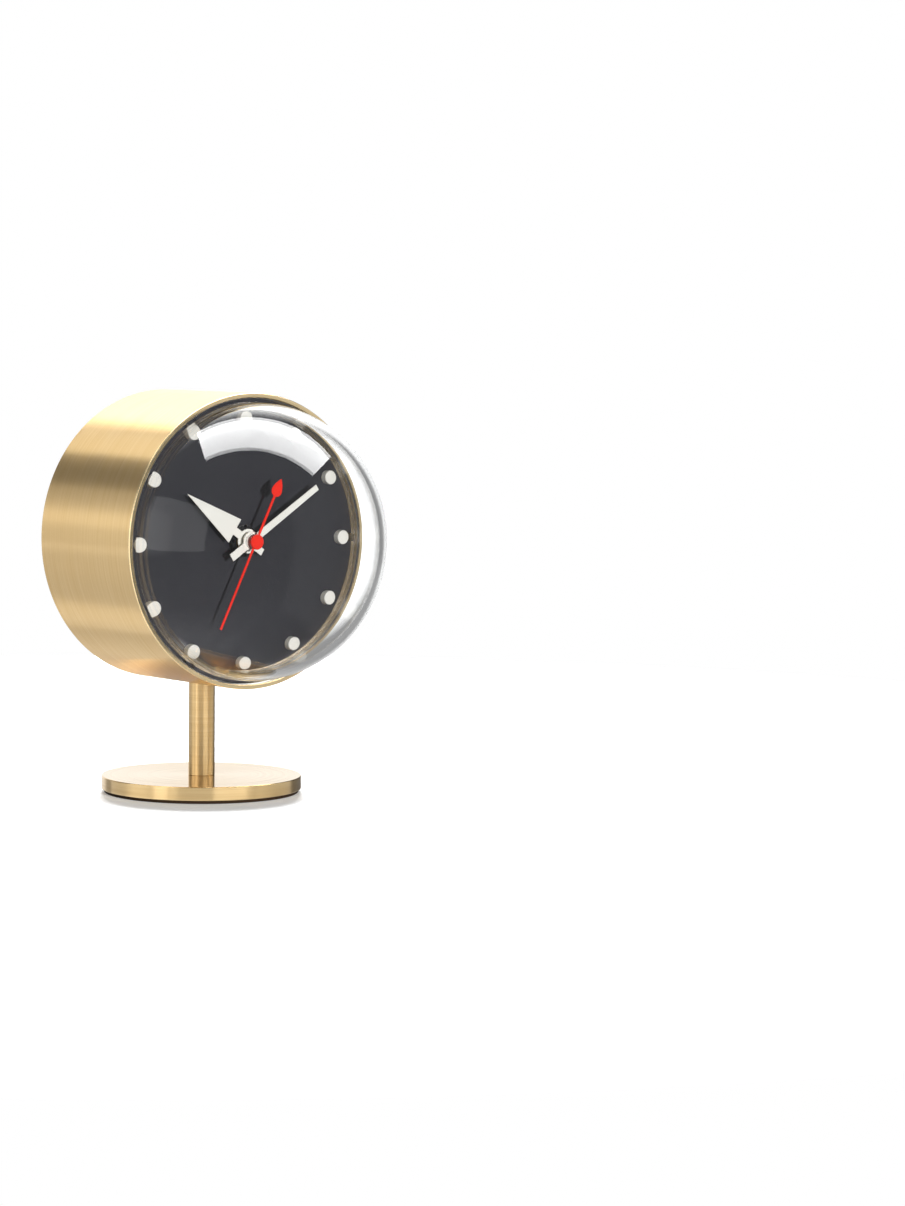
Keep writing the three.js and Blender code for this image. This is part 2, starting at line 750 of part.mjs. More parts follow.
function buildMinuteHand() {
  const back = MINUTE_HAND_BACK;
  const front = back - HAND_THICKNESS;
  const blade = outline([
    [-1.55, -10.9],
    [-1.175, 36.9],
    [1.175, 36.9],
    [1.55, -10.9],
  ]);
  const hub = disc(3.75, front, back);
  const collet = disc(2.9, front - 0.8, back);
  const boss = disc(2.4, back - GAP, HOUR_PIPE_FRONT - 4 * GAP);
  const bore = disc(MINUTE_SHAFT_RADIUS + 0.06, front - 2, HOUR_PIPE_FRONT);
  const hand = cut(join(plate(blade, front, back), hub, collet, boss), bore);
  addHand("minute_hand", hand, IVORY, MINUTE_ANGLE);
}

function buildSecondHand() {
  const back = SECOND_HAND_BACK;
  const front = back - 0.3;
  const stem = outline([
    [-0.45, -36],
    [-0.5, 19.5],
    [0.5, 19.5],
    [0.45, -36],
  ]);
  // The spade is round towards the hub and pointed outwards.
  const spade = new THREE.Shape();
  spade.absarc(0, 21.4, 2.4, Math.PI, 2 * Math.PI);
  spade.quadraticCurveTo(1.9, 24, 0, 26.2);
  spade.quadraticCurveTo(-1.9, 24, -2.4, 21.4);
  const hub = disc(2.2, front, back + 0.5);
  const blade = join(plate(stem, front, back), plate(spade, front, back, 8), hub);
  const capBoss = 1.2;
  const bore = disc(capBoss + 0.06, front - 1, back + 1);
  addHand("second_hand", cut(blade, bore), RED, SECOND_ANGLE);

  const capProfile = [
    [0, front - 1],
    [2.6, front - 1],
    [2.9, front - 0.7],
    [2.9, front],
    [capBoss, front],
    [capBoss, back + 0.9],
    [0, back + 0.9],
  ];
  const shaftHole = disc(ARBOR_RADIUS + 0.06, SECOND_SHAFT_FRONT - GAP, back + 2, TINY);
  addHand("second_hand_cap", cut(turned(capProfile, SMALL), shaftHole), RED, SECOND_ANGLE);
}

buildFoot();
buildPost();
buildDrum();
buildLens();
buildBackCover();
buildDial();
buildMovementCase();
buildMotor();
buildCircuit();
buildBattery();
buildGoingTrain();
buildMotionWork();
buildHourHand();
buildMinuteHand();
buildSecondHand();

export default clock;
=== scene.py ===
"""The looks of a table clock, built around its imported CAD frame.

A brushed brass drum stands on a round post and base. A domed acrylic lens closes its front, over a
satin black dial with twelve pegs and three hands. Lengths of the object are in millimetres, as in the
frame's own drawing, and mesh builders turn them into metres. The studio around it is in metres.
"""

import json
import math

import bmesh
import bpy
from mathutils import Matrix, Vector

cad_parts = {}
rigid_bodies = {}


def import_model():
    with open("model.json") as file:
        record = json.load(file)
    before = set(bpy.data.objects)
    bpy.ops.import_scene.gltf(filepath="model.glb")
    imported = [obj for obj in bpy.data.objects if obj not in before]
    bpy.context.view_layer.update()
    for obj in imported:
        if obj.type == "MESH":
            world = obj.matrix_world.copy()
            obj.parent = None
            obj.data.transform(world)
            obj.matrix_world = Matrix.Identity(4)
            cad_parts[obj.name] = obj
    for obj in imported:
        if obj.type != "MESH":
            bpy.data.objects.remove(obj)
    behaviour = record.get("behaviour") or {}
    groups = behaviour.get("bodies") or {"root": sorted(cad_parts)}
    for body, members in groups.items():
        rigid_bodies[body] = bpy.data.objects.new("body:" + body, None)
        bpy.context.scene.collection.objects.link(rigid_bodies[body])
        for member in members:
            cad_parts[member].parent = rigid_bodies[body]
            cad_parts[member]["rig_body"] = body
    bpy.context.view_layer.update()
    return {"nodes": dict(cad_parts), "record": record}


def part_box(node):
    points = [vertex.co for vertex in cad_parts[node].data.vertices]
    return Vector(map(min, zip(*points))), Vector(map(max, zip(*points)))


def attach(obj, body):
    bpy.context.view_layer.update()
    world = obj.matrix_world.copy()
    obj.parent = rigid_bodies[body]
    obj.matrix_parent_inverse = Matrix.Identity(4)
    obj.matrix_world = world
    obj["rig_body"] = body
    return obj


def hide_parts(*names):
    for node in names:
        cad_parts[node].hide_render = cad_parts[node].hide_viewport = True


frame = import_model()

MM = 0.001
NODE_SLOTS = {part["node"]: part["material_slot"] for part in frame["record"]["subparts"]}


def box_mm(node):
    """Lowest and highest corner of a CAD node, in millimetres."""
    low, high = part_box(node)
    return low / MM, high / MM


# ---- Sizes, from the frame ----

drum_low, drum_high = box_mm("drum_case")
AXIS_Z = (drum_low.z + drum_high.z) / 2
DRUM_RADIUS = (drum_high.x - drum_low.x) / 2
DRUM_FRONT, DRUM_BACK = drum_low.y, drum_high.y

dial_low, dial_high = box_mm("dial_plate")
DIAL_RADIUS = (dial_high.x - dial_low.x) / 2
DIAL_Y = dial_low.y
DIAL_SKIRT_BACK = dial_high.y
DRUM_BORE = DIAL_RADIUS + 0.2

pad_low, pad_high = box_mm("base_pad")
base_low, base_high = box_mm("base_disc")
post_low, post_high = box_mm("post")
lens_low, lens_high = box_mm("front_lens")

# ---- Sizes that the frame's boxes don't show ----

EDGE = 0.35  # radius of the softened edges
DIAL_THICKNESS = 2.0
LENS_RADIUS = 52.7
LENS_WALL = 2.8
LENS_SKIRT = 3.0
SCREW_HOLE = 2.3
BUSH_HOLE = 4.05
PEG_SHANK = 1.0
SHANK_GAP = 0.1
HOUR_ANGLE = 303.5
MINUTE_ANGLE = 57.3
SECOND_ANGLE = 26.5

FINE = 224  # segments of the largest rounds
MEDIUM = 96
SMALL = 48
TINY = 24

TOUCH = 0.02  # left between faces that rest on each other
OVERLAP = 0.1  # how far solids reach into each other before they are joined
PAST = 1.0  # how far a cutting tool reaches past what it cuts
WELD_DISTANCE = 0.002
NEARLY_NOTHING = 1e-6


# ---- Meshes ----


def about_drum(radius, along, degrees):
    """A point round the drum's axis. Degrees turn clockwise from twelve, as a reader sees the dial."""
    turn = math.radians(degrees)
    return Vector((radius * math.sin(turn), along, AXIS_Z + radius * math.cos(turn))) * MM


def about_post(radius, along, degrees):
    """A point round the post's axis."""
    turn = math.radians(degrees)
    return Vector((radius * math.cos(turn), radius * math.sin(turn), along)) * MM


def rounded(corners, steps=4, closed=True):
    """The points of an outline through corners (a, b) or (a, b, radius), which arcs of that radius turn."""
    points = []
    count = len(corners)
    for i, corner in enumerate(corners):
        here = Vector(corner[:2])
        at_end = not closed and i in (0, count - 1)
        if len(corner) == 2 or at_end:
            points.append(tuple(here))
            continue
        to_last = (Vector(corners[i - 1][:2]) - here).normalized()
        to_next = (Vector(corners[(i + 1) % count][:2]) - here).normalized()
        half = to_last.angle(to_next) / 2
        centre = here + (to_last + to_next).normalized() * corner[2] / math.sin(half)
        start = here + to_last * corner[2] / math.tan(half) - centre
        end = here + to_next * corner[2] / math.tan(half) - centre
        sweep = start.angle_signed(end)
        for k in range(steps + 1):
            points.append(tuple(centre + Matrix.Rotation(-sweep * k / steps, 2) @ start))
    return points


def turned(profile, about, segments=MEDIUM):
    """A solid of revolution. Its profile is a list of (radius, along).

    The profile starts and ends on the axis, or closes on itself.
    """
    mesh = bmesh.new()
    rings = []
    for radius, along in profile:
        places = [0.0] if radius < NEARLY_NOTHING else [360 * i / segments for i in range(segments)]
        rings.append([mesh.verts.new(about(radius, along, place)) for place in places])
    closes = len(rings[0]) > 1
    for i in range(len(rings) if closes else len(rings) - 1):
        near, far = rings[i], rings[(i + 1) % len(rings)]
        for k in range(segments):
            j = (k + 1) % segments
            ring = [near[k % len(near)], near[j % len(near)], far[j % len(far)], far[k % len(far)]]
            mesh.faces.new(list(dict.fromkeys(ring)))
    bmesh.ops.recalc_face_normals(mesh, faces=mesh.faces)
    return mesh


def disc(radius, start, end, about, segments=SMALL):
    """A plain cylinder."""
    return turned([(0, start), (radius, start), (radius, end), (0, end)], about, segments)


def extruded(outline, front, back, degrees=0.0):
    """A flat outline of (x, z) round the drum's axis, turned clockwise, as thick as front to back."""
    mesh = bmesh.new()
    turn = math.radians(degrees)
    sides = []
    for y in (front, back):
        side = []
        for x, z in outline:
            across = x * math.cos(turn) + z * math.sin(turn)
            up = z * math.cos(turn) - x * math.sin(turn)
            side.append(mesh.verts.new(Vector((across, y, AXIS_Z + up)) * MM))
        sides.append(side)
    mesh.faces.new(sides[0])
    mesh.faces.new(sides[1][::-1])
    for i in range(len(outline)):
        j = (i + 1) % len(outline)
        mesh.faces.new([sides[0][i], sides[1][i], sides[1][j], sides[0][j]])
    bmesh.ops.recalc_face_normals(mesh, faces=mesh.faces)
    return mesh


def arc(radius, start, end, centre=(0.0, 0.0), steps=16):
    """Points (x, z) on a circle, from one clock angle to another."""
    turns = [math.radians(start + (end - start) * i / steps) for i in range(steps + 1)]
    return [(centre[0] + radius * math.sin(a), centre[1] + radius * math.cos(a)) for a in turns]


def curve(start, bend, end, steps=10):
    """Points on the curve that leaves start towards bend and reaches end from it."""
    points = []
    for i in range(steps + 1):
        t = i / steps
        weights = ((1 - t) ** 2, 2 * t * (1 - t), t**2)
        points.append(tuple(sum(w * p[k] for w, p in zip(weights, (start, bend, end))) for k in (0, 1)))
    return points


def mirrored(right):
    """A whole outline from its right half, which runs from the top to the bottom."""
    return right + [(-x, z) for x, z in reversed(right) if abs(x) > NEARLY_NOTHING]


def new_object(name, mesh):
    data = bpy.data.meshes.new(name)
    mesh.to_mesh(data)
    mesh.free()
    made = bpy.data.objects.new(name, data)
    bpy.context.scene.collection.objects.link(made)
    return made


def combined(first, second, operation):
    """The boolean of two closed meshes: UNION or DIFFERENCE."""
    body, tool = new_object("body", first), new_object("tool", second)
    boolean = body.modifiers.new("boolean", "BOOLEAN")
    boolean.operation = operation
    boolean.object = tool
    boolean.solver = "EXACT"
    mesh = bmesh.new()
    mesh.from_object(body, bpy.context.evaluated_depsgraph_get())
    for used in (body, tool):
        bpy.data.objects.remove(used)
    return mesh


def smooth(piece, bevel=0.0, angle=32.0, weld=False):
    """Shades a piece smoothly between its real edges, and breaks those edges with a bevel in millimetres.

    A mesh whose triangles share no vertices is welded first.
    """
    data = piece.data
    data.polygons.foreach_set("use_smooth", [True] * len(data.polygons))
    if weld:
        shared = piece.modifiers.new("shared_vertices", "WELD")
        shared.merge_threshold = WELD_DISTANCE * MM
    else:
        data.set_sharp_from_angle(angle=math.radians(angle))
    if bevel > 0:
        broken = piece.modifiers.new("broken_edges", "BEVEL")
        broken.width = bevel * MM
        broken.segments = 2
        broken.limit_method = "ANGLE"
        broken.angle_limit = math.radians(angle)
    weighted = piece.modifiers.new("flat_faces", "WEIGHTED_NORMAL")
    weighted.keep_sharp = True


def stand_in(node, mesh, *materials, bevel=0.0):
    """Shows a mesh in place of a CAD node, on that node's body and with the materials given."""
    piece = new_object(node + "_fine", mesh)
    for material in materials:
        piece.data.materials.append(material)
    smooth(piece, bevel)
    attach(piece, frame["nodes"][node]["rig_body"])
    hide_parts(node)
    return piece


# ---- Materials ----


class Finish:
    """A material with one Principled shader, and short ways to add nodes to it."""

    def __init__(self, name, **sockets):
        self.material = bpy.data.materials.new(name)
        self.material.use_nodes = True
        self.tree = self.material.node_tree
        self.shader = self.tree.nodes["Principled BSDF"]
        for socket, value in sockets.items():
            self.set(socket.replace("_", " "), value)

    def set(self, socket, value):
        if isinstance(value, bpy.types.NodeSocket):
            self.tree.links.new(value, self.shader.inputs[socket])
        else:
            self.shader.inputs[socket].default_value = value

    def node(self, kind, inputs=None, **attributes):
        return add_node(self.tree, kind, inputs, **attributes)

    def maths(self, operation, *values):
        return add_maths(self.tree, operation, *values)

    def point(self):
        """The point on the object, in millimetres."""
        point = self.node("ShaderNodeTexCoord").outputs["Object"]
        in_mm = self.node("ShaderNodeVectorMath", {0: point, "Scale": 1 / MM}, operation="SCALE")
        return in_mm.outputs[0]

    def place(self):
        """The same point, as three outputs."""
        split = self.node("ShaderNodeSeparateXYZ", {0: self.point()})
        return split.outputs["X"], split.outputs["Y"], split.outputs["Z"]

    def noise(self, size, vector=None, detail=2.0):
        """A cloud from 0 to 1 whose blobs are that many millimetres across."""
        if vector is None:
            vector = self.point()
        made = self.node("ShaderNodeTexNoise", {"Vector": vector, "Scale": 1 / size, "Detail": detail})
        return made.outputs["Fac"]

    def span(self, value, low, high, start=0.25, end=0.75):
        """A value from start to end, turned into one from low to high."""
        inputs = {"Value": value, "From Min": start, "From Max": end, "To Min": low, "To Max": high}
        return self.node("ShaderNodeMapRange", inputs).outputs["Result"]

    def blend(self, factor, first, second):
        """A colour between two, which are the mix node's sockets 6 and 7, by a factor."""
        inputs = {"Factor": factor, 6: first, 7: second}
        return self.node("ShaderNodeMix", inputs, data_type="RGBA").outputs[2]

    def relief(self, height, depth):
        """Bump of a height from 0 to 1 that stands for a depth in millimetres."""
        bump = self.node("ShaderNodeBump", {"Height": height, "Distance": depth * MM, "Strength": 1.0})
        self.set("Normal", bump.outputs["Normal"])


def add_node(tree, kind, inputs=None, **attributes):
    made = tree.nodes.new(kind)
    for key, value in attributes.items():
        setattr(made, key, value)
    for key, value in (inputs or {}).items():
        if isinstance(value, bpy.types.NodeSocket):
            tree.links.new(value, made.inputs[key])
        else:
            made.inputs[key].default_value = value
    return made


def add_maths(tree, operation, *values):
    return add_node(tree, "ShaderNodeMath", dict(enumerate(values)), operation=operation).outputs[0]


def rgb(red, green, blue):
    return (red, green, blue, 1.0)


BRASS = rgb(0.80, 0.585, 0.295)
BRASS_DEEP = rgb(0.70, 0.48, 0.215)


def brushed_brass(name, axis, offset=0.0, roughness=0.33):
    """Lacquered brass, brushed round an axis: Y, at the drum's height, or Z.

    Brush marks run round the axis. They are stretched noise: fine across, which is along the axis
    on a side and along the radius on a flat end, and long in the other direction.
    """
    brass = Finish(name, Metallic=1.0, Roughness=roughness, Anisotropic=1.0, Anisotropic_Rotation=0.25)
    brass.set("Coat Weight", 0.3)
    brass.set("Coat Roughness", 0.12)
    x, y, z = brass.place()
    level, along = (brass.maths("SUBTRACT", z, offset), y) if axis == "Y" else (y, z)
    squares = [brass.maths("MULTIPLY", x, x), brass.maths("MULTIPLY", level, level)]
    radius = brass.maths("SQRT", brass.maths("ADD", *squares))
    across = brass.maths("ADD", along, radius)

    def marks(width, length, detail):
        parts = {"X": brass.maths("DIVIDE", x, length), "Y": brass.maths("DIVIDE", level, length)}
        parts["Z"] = brass.maths("DIVIDE", across, width)
        vector = brass.node("ShaderNodeCombineXYZ", parts).outputs[0]
        return brass.noise(1.0, vector, detail)

    fine = marks(0.16, 26.0, 3.0)
    broad = marks(1.1, 60.0, 2.0)
    grain = brass.maths("ADD", brass.maths("MULTIPLY", fine, 0.6), brass.maths("MULTIPLY", broad, 0.4))
    patina = brass.noise(34.0)
    tone = brass.maths("ADD", brass.span(grain, 0.0, 0.75, 0.38, 0.62), brass.span(patina, 0.0, 0.25))
    brass.set("Base Color", brass.blend(tone, BRASS_DEEP, BRASS))
    brass.set("Roughness", brass.span(grain, roughness + 0.05, roughness - 0.05, 0.35, 0.65))
    tangent = brass.node("ShaderNodeTangent", direction_type="RADIAL", axis=axis)
    brass.set("Tangent", tangent.outputs[0])
    brass.relief(fine, 0.004)
    return brass.material


def polished_brass():
    brass = Finish("polished_brass", Metallic=1.0)
    haze = brass.noise(2.4, detail=4.0)
    brass.set("Base Color", brass.blend(haze, rgb(0.88, 0.68, 0.38), rgb(0.94, 0.75, 0.45)))
    brass.set("Roughness", brass.span(haze, 0.12, 0.2))
    return brass.material


def plain_metal(name, colour, roughness, grain=0.5):
    """A turned or rolled metal of a fitting, with fine tool marks."""
    metal = Finish(name, Metallic=1.0)
    marks = metal.noise(grain, detail=5.0)
    darker = rgb(*[0.8 * part for part in colour[:3]])
    metal.set("Base Color", metal.blend(marks, darker, colour))
    metal.set("Roughness", metal.span(marks, roughness - 0.06, roughness + 0.08))
    metal.relief(marks, 0.004)
    return metal.material


def painted(name, colour, roughness, peel=0.5, depth=0.004, shift=0.06):
    """Paint or smooth moulded plastic: the faint skin of orange peel, and a little unevenness of tone."""
    paint = Finish(name)
    skin = paint.noise(peel, detail=3.0)
    cloud = paint.noise(9.0)
    darker = rgb(*[(1 - shift) * part for part in colour[:3]])
    paint.set("Base Color", paint.blend(cloud, darker, colour))
    paint.set("Roughness", paint.span(skin, roughness - 0.04, roughness + 0.04))
    paint.relief(skin, depth)
    return paint.material


def moulded_black():
    """Black plastic out of a spark-eroded mould: a fine even grain that breaks up its shine."""
    plastic = Finish("moulded_black")
    grain = plastic.noise(0.28, detail=4.0)
    cloud = plastic.noise(14.0)
    plastic.set("Base Color", plastic.blend(cloud, rgb(0.010, 0.010, 0.011), rgb(0.018, 0.018, 0.020)))
    plastic.set("Roughness", plastic.span(grain, 0.42, 0.6))
    plastic.relief(grain, 0.02)
    return plastic.material


def soft_pad():
    """The dark resin-bonded pad under the base, with the nap of pressed fibres."""
    pad = Finish("soft_pad", Specular_IOR_Level=0.2)
    fibres = pad.noise(0.22, detail=6.0)
    pad.set("Base Color", pad.blend(fibres, rgb(0.018, 0.010, 0.006), rgb(0.065, 0.040, 0.024)))
    pad.set("Roughness", pad.span(fibres, 0.8, 0.95))
    pad.relief(fibres, 0.08)
    return pad.material


def clear_acrylic():
    """Cast acrylic, with the slightest waviness of its mould."""
    acrylic = Finish("clear_acrylic", Transmission_Weight=1.0, IOR=1.49, Roughness=0.0)
    acrylic.set("Base Color", rgb(0.985, 0.99, 0.99))
    acrylic.relief(acrylic.noise(28.0, detail=0.0), 0.02)
    return acrylic.material


def sawn_acrylic():
    """The dome's edge as the saw left it, which scatters the light."""
    edge = Finish("sawn_acrylic", Transmission_Weight=1.0, IOR=1.49)
    marks = edge.noise(0.3, detail=3.0)
    edge.set("Base Color", rgb(0.97, 0.98, 0.98))
    edge.set("Roughness", edge.span(marks, 0.3, 0.45))
    return edge.material


def wound_copper():
    """Enamelled wire, wound round an arm along X in turns of a tenth of a millimetre, with painted shade
    darkening the grooves between the turns.
    """
    copper = Finish("wound_copper", Metallic=1.0, Roughness=0.3, Coat_Weight=0.6)
    x, _, _ = copper.place()
    turns = copper.maths("ABSOLUTE", copper.maths("SINE", copper.maths("MULTIPLY", x, math.pi / 0.14)))
    # Painted shade: the colour goes dark in the grooves between turns and stays copper on their crowns. The
    # same turns also give the relief.
    copper.set("Base Color", copper.blend(turns, rgb(0.20, 0.05, 0.02), rgb(0.72, 0.27, 0.11)))
    copper.relief(turns, 0.05)
    return copper.material


def printed_board():
    """Green solder mask over copper tracks."""
    board = Finish("printed_board", Roughness=0.35, Coat_Weight=0.4)
    x, _, z = board.place()
    place = board.node("ShaderNodeCombineXYZ", {"X": x, "Y": z}).outputs[0]
    sizes = {"Vector": place, "Scale": 1.0, "Mortar Size": 0.16, "Brick Width": 5.2, "Row Height": 1.7}
    tracks = board.node("ShaderNodeTexBrick", sizes).outputs["Fac"]
    board.set("Base Color", board.blend(tracks, rgb(0.006, 0.075, 0.026), rgb(0.02, 0.17, 0.06)))
    board.relief(tracks, 0.03)
    return board.material


def cell_jacket():
    """A plain dry cell: a dark jacket, a bare band at its positive end and steel ends."""
    low, high = box_mm("battery")
    jacket = Finish("cell_jacket", Coat_Weight=0.5)
    x, _, _ = jacket.place()
    share = jacket.span(x, 0.0, 1.0, low.x, high.x)
    bands = jacket.node("ShaderNodeValToRGB", {"Fac": share})
    bands.color_ramp.interpolation = "CONSTANT"
    stops = bands.color_ramp.elements
    stops[0].color = rgb(0.5, 0.5, 0.52)
    stops[1].position = 0.02
    stops[1].color = rgb(0.028, 0.042, 0.065)
    for position, colour in ((0.7, rgb(0.55, 0.24, 0.08)), (0.965, rgb(0.5, 0.5, 0.52))):
        stops.new(position).color = colour
    film = jacket.noise(1.2, detail=3.0)
    jacket.set("Base Color", bands.outputs["Color"])
    jacket.set("Roughness", jacket.span(film, 0.28, 0.4))
    jacket.set("Metallic", jacket.maths("GREATER_THAN", share, 0.7))
    return jacket.material


BRASS_ROUND_DRUM = brushed_brass("brushed_brass_drum", "Y", AXIS_Z)
BRASS_ROUND_POST = brushed_brass("brushed_brass_post", "Z")
BRASS_BASE = brushed_brass("brushed_brass_base", "Z")
BRASS_BASE_TOP = brushed_brass("brushed_brass_base_top", "Z", roughness=0.12)
POLISHED = polished_brass()
FINISHES = {
    "brass": BRASS_ROUND_DRUM,
    "bored_brass": plain_metal("bored_brass", BRASS, 0.56, grain=1.5),
    "brass_fitting": plain_metal("turned_brass", rgb(0.80, 0.56, 0.25), 0.3),
    "pad": soft_pad(),
    "steel": plain_metal("steel", rgb(0.56, 0.57, 0.58), 0.34),
    "clear_lens": clear_acrylic(),
    "sawn_acrylic": sawn_acrylic(),
    "black_plastic": moulded_black(),
    "soft_black": painted("soft_black", rgb(0.02, 0.02, 0.022), 0.75, peel=0.3, depth=0.02),
    "dial_black": painted("dial_black", rgb(0.028, 0.028, 0.034), 0.42, peel=0.4, depth=0.003),
    "ivory": painted("ivory", rgb(0.86, 0.84, 0.78), 0.45, peel=0.6, depth=0.006),
    "hand_ivory": painted("hand_ivory", rgb(0.88, 0.865, 0.80), 0.4, peel=0.5, depth=0.003),
    "hand_red": painted("hand_red", rgb(0.92, 0.026, 0.012), 0.35, peel=0.5, depth=0.003),
    "white_plastic": painted("white_plastic", rgb(0.72, 0.72, 0.69), 0.4),
    "board_green": printed_board(),
    "copper": wound_copper(),
    "magnet": plain_metal("magnet", rgb(0.12, 0.12, 0.125), 0.45),
    "cell_jacket": cell_jacket(),
}


# ---- Base and post ----


def build_base():
    """The pad, and on it a disc with a countersunk hole for the post's screw."""
    low, high = pad_low.z, pad_high.z
    profile = [(0, low), (pad_high.x, low, 0.3), (pad_high.x, high, 0.2), (0, high)]
    stand_in("base_pad", turned(rounded(profile, closed=False), about_post, FINE), FINISHES["pad"])

    low, high, radius = base_low.z, base_high.z, base_high.x
    sink_radius, sink_depth = SCREW_HOLE + 2, 2.4
    profile = [
        (sink_radius, low),
        (radius, low, EDGE),
        (radius, high, EDGE),
        (SCREW_HOLE, high),
        (SCREW_HOLE, low + sink_depth),
    ]
    disc_mesh = turned(rounded(profile), about_post, FINE)
    for face in disc_mesh.faces:
        face.material_index = int(face.calc_center_median().z / MM > high - EDGE)
    stand_in("base_disc", disc_mesh, BRASS_BASE, BRASS_BASE_TOP)


def build_post():
    """A rod with a screw hole in each end, whose top is cut to sit against the drum."""
    low, high, radius = post_low.z, post_high.z, post_high.x
    foot_hole_top, head_hole_bottom = low + 13.5, low + 25.5
    profile = [
        (0, foot_hole_top),
        (SCREW_HOLE, foot_hole_top),
        (SCREW_HOLE, low),
        (radius, low, 0.2),
        (radius, high),
        (SCREW_HOLE, high),
        (SCREW_HOLE, head_hole_bottom),
        (0, head_hole_bottom),
    ]
    mesh = turned(rounded(profile, closed=False), about_post, MEDIUM)
    touching = DRUM_RADIUS + 0.1
    for vertex in mesh.verts:
        if vertex.co.z > (high - 0.01) * MM:
            across = vertex.co.x / MM
            vertex.co.z = (AXIS_Z - math.sqrt(touching**2 - across**2)) * MM
    stand_in("post", mesh, BRASS_ROUND_POST)


# ---- Drum, lens and back cover ----


def build_drum():
    """A tube, brushed outside and bored inside, with polished rims and a screw hole over the post."""
    inner_edge = 0.25
    profile = [
        (DRUM_BORE, DRUM_FRONT, inner_edge),
        (DRUM_RADIUS, DRUM_FRONT, EDGE),
        (DRUM_RADIUS, DRUM_BACK, EDGE),
        (DRUM_BORE, DRUM_BACK, inner_edge),
    ]
    shell = turned(rounded(profile), about_drum, FINE)
    hole = disc(SCREW_HOLE, AXIS_Z - DRUM_RADIUS - PAST, AXIS_Z - DRUM_BORE + PAST, about_post)
    shell = combined(shell, hole, "DIFFERENCE")
    polished, bored = 1, 2
    for face in shell.faces:
        centre = face.calc_center_median() / MM
        if centre.y < DRUM_FRONT + EDGE or centre.y > DRUM_BACK - EDGE:
            face.material_index = polished
        elif math.hypot(centre.x, centre.z - AXIS_Z) < DRUM_BORE + 0.1:
            face.material_index = bored
    stand_in("drum_case", shell, BRASS_ROUND_DRUM, POLISHED, FINISHES["bored_brass"])


def dome(radius, height, steps):
    """A quarter of an ellipse in front of the drum, from the apex to the drum's front edge."""
    turns = [math.pi / 2 * i / steps for i in range(steps + 1)]
    return [(radius * math.sin(turn), DRUM_FRONT - height * math.cos(turn)) for turn in turns]


def build_lens():
    """A clear dome with a flange that sits in the drum's mouth."""
    flange_radius = lens_high.x
    flange_front = DRUM_FRONT + 0.4
    flange_back = DRUM_FRONT + LENS_SKIRT
    inner_radius = LENS_RADIUS - LENS_WALL
    height = DRUM_FRONT - lens_low.y
    outside = dome(LENS_RADIUS, height, 72)
    inside = dome(inner_radius, height - LENS_WALL, 72)[::-1]
    corners = [
        outside[-1],
        (LENS_RADIUS, flange_front, 0.15),
        (flange_radius, flange_front, 0.15),
        (flange_radius, flange_back, 0.3),
        (inner_radius, flange_back, 0.3),
        inside[0],
    ]
    flange = rounded(corners, closed=False)
    shell = turned(outside + flange[1:-1] + inside, about_drum, FINE)

    # Three lugs on the skirt, at three, seven and eleven o'clock, keep the lens off the dial.
    lug_back = lens_high.y
    half, near, far = 1.6, inner_radius + 0.6, flange_radius - 0.6
    outline = rounded([(-half, near, 0.5), (-half, far, 0.5), (half, far, 0.5), (half, near, 0.5)])
    for degrees in (90, 210, 330):
        lug = extruded(outline, flange_back - 1, lug_back, degrees)
        shell = combined(shell, lug, "UNION")
    sawn = 1
    for face in shell.faces:
        centre = face.calc_center_median() / MM
        if math.hypot(centre.x, centre.z - AXIS_Z) > flange_radius - 0.2:
            face.material_index = sawn
    lens = stand_in("front_lens", shell, FINISHES["clear_lens"], FINISHES["sawn_acrylic"])
    lens.visible_shadow = False
    lens.visible_diffuse = False


def build_back_cover():
    """A pull-off cover: a shallow cup with a sunk panel, and a notch for a finger."""
    low, high = box_mm("back_cover")
    radius, front, back = high.x, low.y, high.y
    wall, panel, rim = 1.6, 0.6, 5.0
    profile = [
        (0, back - wall - panel),
        (radius - wall, back - wall - panel, 0.5),
        (radius - wall, front, 0.3),
        (radius, front, 0.3),
        (radius, back, 0.5),
        (radius - rim, back, 0.4),
        (radius - rim - panel, back - panel, 0.2),
        (0, back - panel),
    ]
    cup = turned(rounded(profile, closed=False), about_drum, FINE)
    reach, below, above = 9.0, -radius - 2 * PAST, 7 - radius
    outline = rounded([(-reach, below), (-reach, above, 3), (reach, above, 3), (reach, below)])
    notch = extruded(outline, front - PAST, back + PAST)
    stand_in("back_cover", combined(cup, notch, "DIFFERENCE"), FINISHES["black_plastic"], bevel=0.15)


# ---- Dial ----

PEGS = [f"hour_peg_{hour:02d}" for hour in range(1, 13)]


def build_dial():
    """A shallow cup with holes for the bush and the pegs, and the pegs. Its flat faces are shaded flat."""
    back = DIAL_Y + DIAL_THICKNESS
    skirt_wall = 1.6
    profile = [
        (0, DIAL_Y),
        (DIAL_RADIUS, DIAL_Y, EDGE),
        (DIAL_RADIUS, DIAL_SKIRT_BACK, 0.3),
        (DIAL_RADIUS - skirt_wall, DIAL_SKIRT_BACK, 0.3),
        (DIAL_RADIUS - skirt_wall, back, 0.5),
        (0, back),
    ]
    plate = turned(rounded(profile, closed=False), about_drum, FINE)
    plate = combined(plate, disc(BUSH_HOLE, DIAL_Y - PAST, back + PAST, about_drum), "DIFFERENCE")
    for peg in PEGS:
        hole = disc(PEG_SHANK + SHANK_GAP, DIAL_Y - PAST, back + PAST, about_peg(peg), TINY)
        plate = combined(plate, hole, "DIFFERENCE")
        build_peg(peg)
    dial = stand_in("dial_plate", plate, FINISHES["dial_black"])
    for face in dial.data.polygons:
        face.use_smooth = abs(face.normal.y) < 0.999


def about_peg(peg):
    """A function that gives points round a peg's own axis."""
    low, high = box_mm(peg)
    centre = (low + high) / 2

    def about(distance, along, degrees):
        turn = math.radians(degrees)
        x, z = centre.x + distance * math.cos(turn), centre.z + distance * math.sin(turn)
        return Vector((x, along, z)) * MM

    return about


